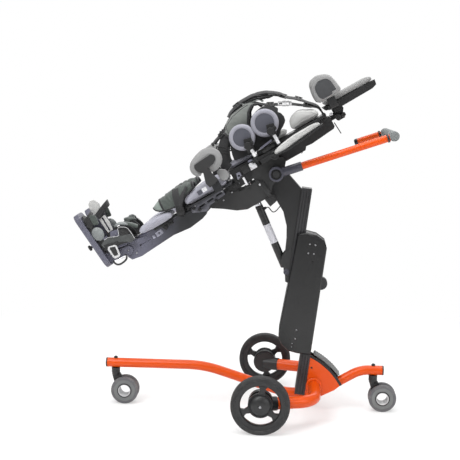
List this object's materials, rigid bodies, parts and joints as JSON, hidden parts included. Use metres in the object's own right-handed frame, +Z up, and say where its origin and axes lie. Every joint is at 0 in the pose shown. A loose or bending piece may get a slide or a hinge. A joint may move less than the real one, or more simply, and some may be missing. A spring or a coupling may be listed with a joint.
{
  "type": "pediatric standing frame",
  "caption": "Wheeled standing frame for a child: a leaning lift mast carries a tilting body support with leg, foot, trunk, arm and head sections.",
  "frame": {"origin": "middle of the footprint's bounding box, on the floor", "axes": "+Z up, +X towards the push handle and the head section, +Y towards the occupant's right-hand side wheel (the side away from the viewer)"},
  "size_m": [1.1509, 0.6636, 1.2],
  "materials": {
    "red_paint": "gloss powder coat, orange red",
    "black_paint": "satin powder coat, black",
    "slate_paint": "satin powder coat, slate with a violet cast",
    "black_anodised": "brushed anodised profile, black",
    "rod_steel": "polished rod",
    "black_plastic": "moulded, fine grain",
    "dark_plastic": "moulded, smooth",
    "pedal_grey": "ribbed",
    "tyre": "solid rubber tyre",
    "caster_tread": "grey wheel rubber",
    "grip_foam": "foam grip",
    "cable_rubber": "round cable sheath",
    "grey_upholstery": "light grey upholstery fabric",
    "vest_fabric": "grey-green padded fabric",
    "black_webbing": "black webbing and straps"
  },
  "bodies": {
    "base": {"base_spine": "red_paint", "spine_caps": "black_plastic", "leg_l": "red_paint", "leg_r": "red_paint", "hub_l": "dark_plastic", "hub_r": "dark_plastic", "fairing": "red_paint", "pedal_trim": "black_plastic", "mast": "black_paint", "housing": "black_paint"},
    "pedal": {"foot_pedal": "pedal_grey"},
    "wheel_left": {"tyre_l": "tyre", "rim_l": "dark_plastic"},
    "wheel_right": {"tyre_r": "tyre", "rim_r": "dark_plastic"},
    "fork_front": {"caster_fork_front": "dark_plastic"},
    "fork_rear": {"caster_fork_rear": "dark_plastic"},
    "rings_front": {"caster_wheels_front": "caster_tread"},
    "rings_rear": {"caster_wheels_rear": "caster_tread"},
    "carriage": {"column": "black_anodised", "carriage_arm": "black_paint", "cables": "cable_rubber"},
    "actuator": {"tilt_cylinder": "black_paint"},
    "rod": {"tilt_rod": "rod_steel"},
    "push_handle": {"handle_sleeve": "dark_plastic", "handle_tube": "red_paint", "handle_grip": "grip_foam"},
    "support": {"side_plate_l": "black_paint", "side_plate_r": "black_paint", "seat_frame": "black_paint", "seat_pad": "grey_upholstery", "back_board": "black_paint", "back_pad": "grey_upholstery", "harness": "vest_fabric"},
    "head": {"headrest_plate": "black_paint", "headrest_pad": "grey_upholstery"},
    "wing_left": {"wing_l": "grey_upholstery"},
    "wing_right": {"wing_r": "grey_upholstery"},
    "side_support_left": {"lateral_arms_l": "black_plastic", "lateral_pads_l": "grey_upholstery"},
    "side_support_right": {"lateral_arms_r": "black_plastic", "lateral_pads_r": "grey_upholstery"},
    "arm_left": {"arm_support_l": "grey_upholstery"},
    "arm_right": {"arm_support_r": "grey_upholstery"},
    "leg_left": {"leg_rail_l": "slate_paint", "thigh_pad_l": "grey_upholstery", "calf_pad_l": "grey_upholstery", "knee_cup_l": "vest_fabric", "hip_plate_l": "black_plastic", "hip_pad_l": "grey_upholstery"},
    "leg_right": {"leg_rail_r": "slate_paint", "thigh_pad_r": "grey_upholstery", "calf_pad_r": "grey_upholstery", "knee_cup_r": "vest_fabric", "hip_plate_r": "black_plastic", "hip_pad_r": "grey_upholstery"},
    "foot_left": {"foot_plate_l": "slate_paint", "sandal_l": "black_webbing"},
    "foot_right": {"foot_plate_r": "slate_paint", "sandal_r": "black_webbing"}
  },
  "joints": [
    {"name": "mast_lift", "type": "slide", "parent": "base", "child": "carriage", "axis": [0.1219, 0, 0.9925], "range_m": [0, 0.15]},
    {"name": "body_tilt", "type": "hinge", "parent": "carriage", "child": "support", "pos_m": [0.1275, 0, 0.863], "axis": [0, 1, 0], "range_deg": [-60, 20]},
    {"name": "actuator_swing", "type": "hinge", "parent": "carriage", "child": "actuator", "pos_m": [0.16965, 0, 0.50484], "axis": [0, 1, 0], "range_deg": [-1, 2]},
    {"name": "rod_slide", "type": "slide", "parent": "actuator", "child": "rod", "axis": [-0.4085, 0, 0.9128], "range_m": [-0.1115, 0.038]},
    {"name": "handle_fold", "type": "hinge", "parent": "carriage", "child": "push_handle", "pos_m": [0.1275, 0, 0.863], "axis": [0, 1, 0], "range_deg": [-10, 60]},
    {"name": "pedal_press", "type": "hinge", "parent": "base", "child": "pedal", "pos_m": [0.27349, 0, 0.15659], "axis": [0, 1, 0], "range_deg": [0, 4]},
    {"name": "wheel_left_spin", "type": "hinge", "parent": "base", "child": "wheel_left", "pos_m": [0.0925, -0.307, 0.1], "axis": [0, 1, 0], "continuous": true},
    {"name": "wheel_right_spin", "type": "hinge", "parent": "base", "child": "wheel_right", "pos_m": [0.0925, 0.307, 0.1], "axis": [0, 1, 0], "continuous": true},
    {"name": "front_swivel", "type": "hinge", "parent": "base", "child": "fork_front", "pos_m": [-0.4465, 0, 0.12], "axis": [0, 0, 1], "continuous": true},
    {"name": "rear_swivel", "type": "hinge", "parent": "base", "child": "fork_rear", "pos_m": [0.4905, 0, 0.12], "axis": [0, 0, 1], "continuous": true},
    {"name": "front_roll", "type": "hinge", "parent": "fork_front", "child": "rings_front", "pos_m": [-0.4115, 0, 0.05], "axis": [0, 1, 0], "continuous": true},
    {"name": "rear_roll", "type": "hinge", "parent": "fork_rear", "child": "rings_rear", "pos_m": [0.5255, 0, 0.05], "axis": [0, 1, 0], "continuous": true},
    {"name": "head_slide", "type": "slide", "parent": "support", "child": "head", "axis": [0.866, 0, 0.5], "range_m": [0, 0.04]},
    {"name": "wing_left_turn", "type": "hinge", "parent": "head", "child": "wing_left", "pos_m": [0.31619, -0.095, 1.09538], "axis": [0.866, 0, 0.5], "range_deg": [-2, 25]},
    {"name": "wing_right_turn", "type": "hinge", "parent": "head", "child": "wing_right", "pos_m": [0.31619, 0.095, 1.09538], "axis": [0.866, 0, 0.5], "range_deg": [-25, 2]},
    {"name": "side_support_left_slide", "type": "slide", "parent": "support", "child": "side_support_left", "axis": [0, -1, 0], "range_m": [0, 0.018]},
    {"name": "side_support_right_slide", "type": "slide", "parent": "support", "child": "side_support_right", "axis": [0, 1, 0], "range_m": [0, 0.018]},
    {"name": "arm_left_lift", "type": "hinge", "parent": "support", "child": "arm_left", "pos_m": [0.12182, -0.216, 0.93004], "axis": [0, 1, 0], "range_deg": [-35, 0]},
    {"name": "arm_right_lift", "type": "hinge", "parent": "support", "child": "arm_right", "pos_m": [0.12182, 0.216, 0.93004], "axis": [0, 1, 0], "range_deg": [-35, 0]},
    {"name": "leg_left_spread", "type": "hinge", "parent": "support", "child": "leg_left", "pos_m": [-0.03173, -0.073, 0.81599], "axis": [-0.5, 0, 0.866], "range_deg": [0, 15]},
    {"name": "leg_right_spread", "type": "hinge", "parent": "support", "child": "leg_right", "pos_m": [-0.03173, 0.073, 0.81599], "axis": [-0.5, 0, 0.866], "range_deg": [-15, 0]},
    {"name": "foot_left_angle", "type": "hinge", "parent": "leg_left", "child": "foot_left", "pos_m": [-0.38246, -0.095, 0.58347], "axis": [0, 1, 0], "range_deg": [-20, 5]},
    {"name": "foot_right_angle", "type": "hinge", "parent": "leg_right", "child": "foot_right", "pos_m": [-0.38246, 0.095, 0.58347], "axis": [0, 1, 0], "range_deg": [-20, 5]}
  ],
  "couplings": [
    {"joint": "actuator_swing", "follows": "body_tilt", "ratio": -0.02},
    {"joint": "rod_slide", "follows": "body_tilt", "m_per_rad": 0.106}
  ]
}
